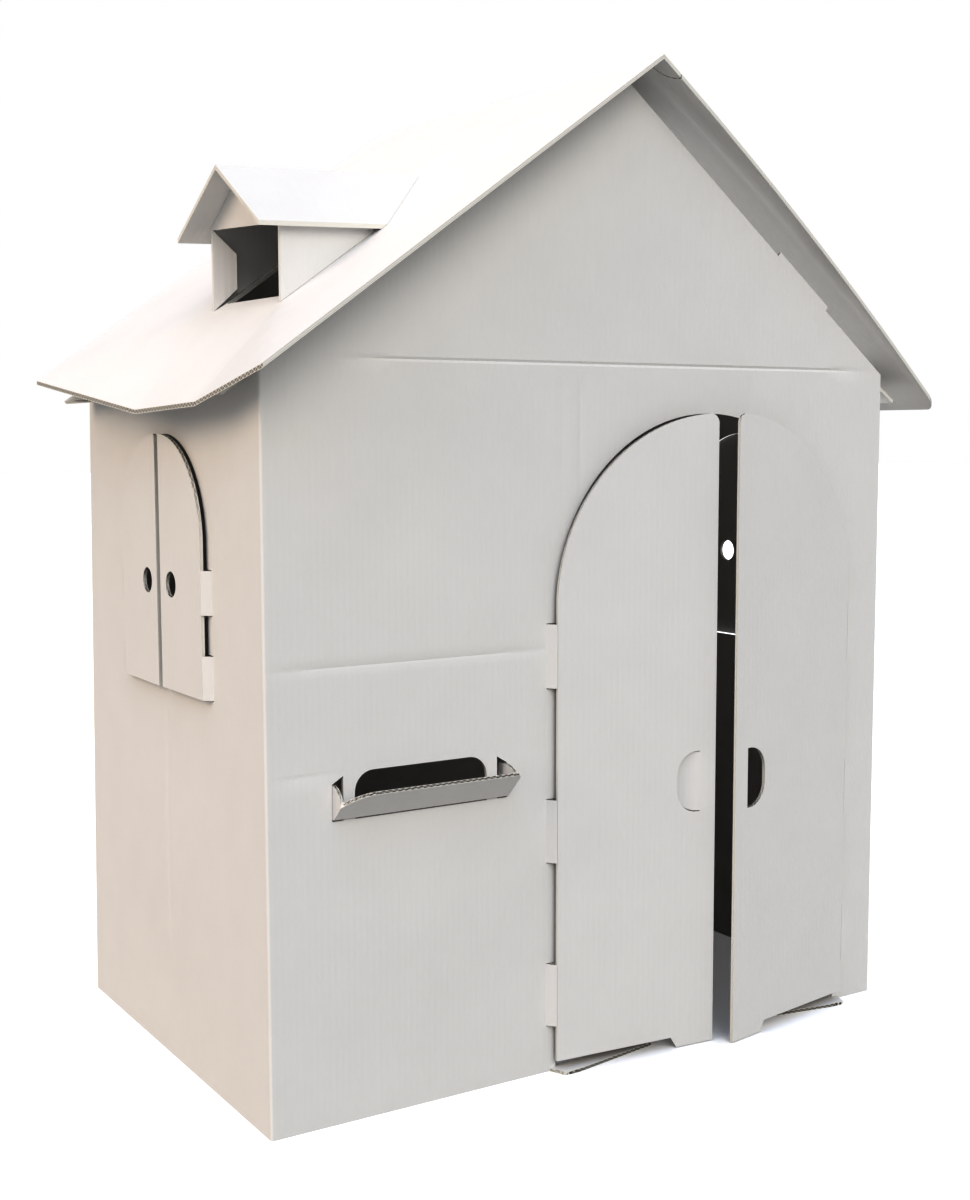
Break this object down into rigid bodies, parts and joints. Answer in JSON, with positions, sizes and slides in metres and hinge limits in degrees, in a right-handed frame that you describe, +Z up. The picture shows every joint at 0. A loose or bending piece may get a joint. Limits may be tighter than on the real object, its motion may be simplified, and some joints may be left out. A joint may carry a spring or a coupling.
{
  "type": "cardboard playhouse",
  "caption": "White corrugated cardboard playhouse with a gabled roof, dormer, arched double door, shuttered side windows and a letter tray.",
  "frame": {"origin": "on the floor, at the middle of the walls' footprint", "axes": "+Z up, -Y out of the front wall with the door, +X to the right seen from the front"},
  "size_m": [1.0106, 0.6462, 1.1382],
  "materials": {
    "white_board": "matte"
  },
  "bodies": {
    "house": {"front_left_wall_sheet": "white_board", "back_right_wall_sheet": "white_board", "roof_sheet": "white_board", "dormer_walls": "white_board", "dormer_roof": "white_board", "letter_tray": "white_board"},
    "left_door_leaf": {"left_door_leaf": "white_board"},
    "right_door_leaf": {"right_door_leaf": "white_board"},
    "left_window_front_shutter": {"left_window_front_shutter": "white_board"},
    "left_window_rear_shutter": {"left_window_rear_shutter": "white_board"},
    "right_window_front_shutter": {"right_window_front_shutter": "white_board"},
    "right_window_rear_shutter": {"right_window_rear_shutter": "white_board"}
  },
  "joints": [
    {"name": "left_door_hinge", "type": "hinge", "parent": "house", "child": "left_door_leaf", "pos_m": [-0.07464, -0.28596, 0.014], "axis": [0, 0, -1], "range_deg": [-4.5, 105.5]},
    {"name": "right_door_hinge", "type": "hinge", "parent": "house", "child": "right_door_leaf", "pos_m": [0.36664, -0.28596, 0.014], "axis": [0, 0, 1], "range_deg": [-10, 100]},
    {"name": "left_window_front_shutter_hinge", "type": "hinge", "parent": "house", "child": "left_window_front_shutter", "pos_m": [-0.43419, -0.13581, 0.442], "axis": [0, 0, 1], "range_deg": [-0.4, 109.6]},
    {"name": "left_window_rear_shutter_hinge", "type": "hinge", "parent": "house", "child": "left_window_rear_shutter", "pos_m": [-0.43419, 0.10781, 0.442], "axis": [0, 0, -1], "range_deg": [-0.8, 109.2]},
    {"name": "right_window_front_shutter_hinge", "type": "hinge", "parent": "house", "child": "right_window_front_shutter", "pos_m": [0.43419, -0.13581, 0.442], "axis": [0, 0, -1], "range_deg": [-0.4, 109.6]},
    {"name": "right_window_rear_shutter_hinge", "type": "hinge", "parent": "house", "child": "right_window_rear_shutter", "pos_m": [0.43419, 0.10781, 0.442], "axis": [0, 0, 1], "range_deg": [-0.8, 109.2]}
  ]
}
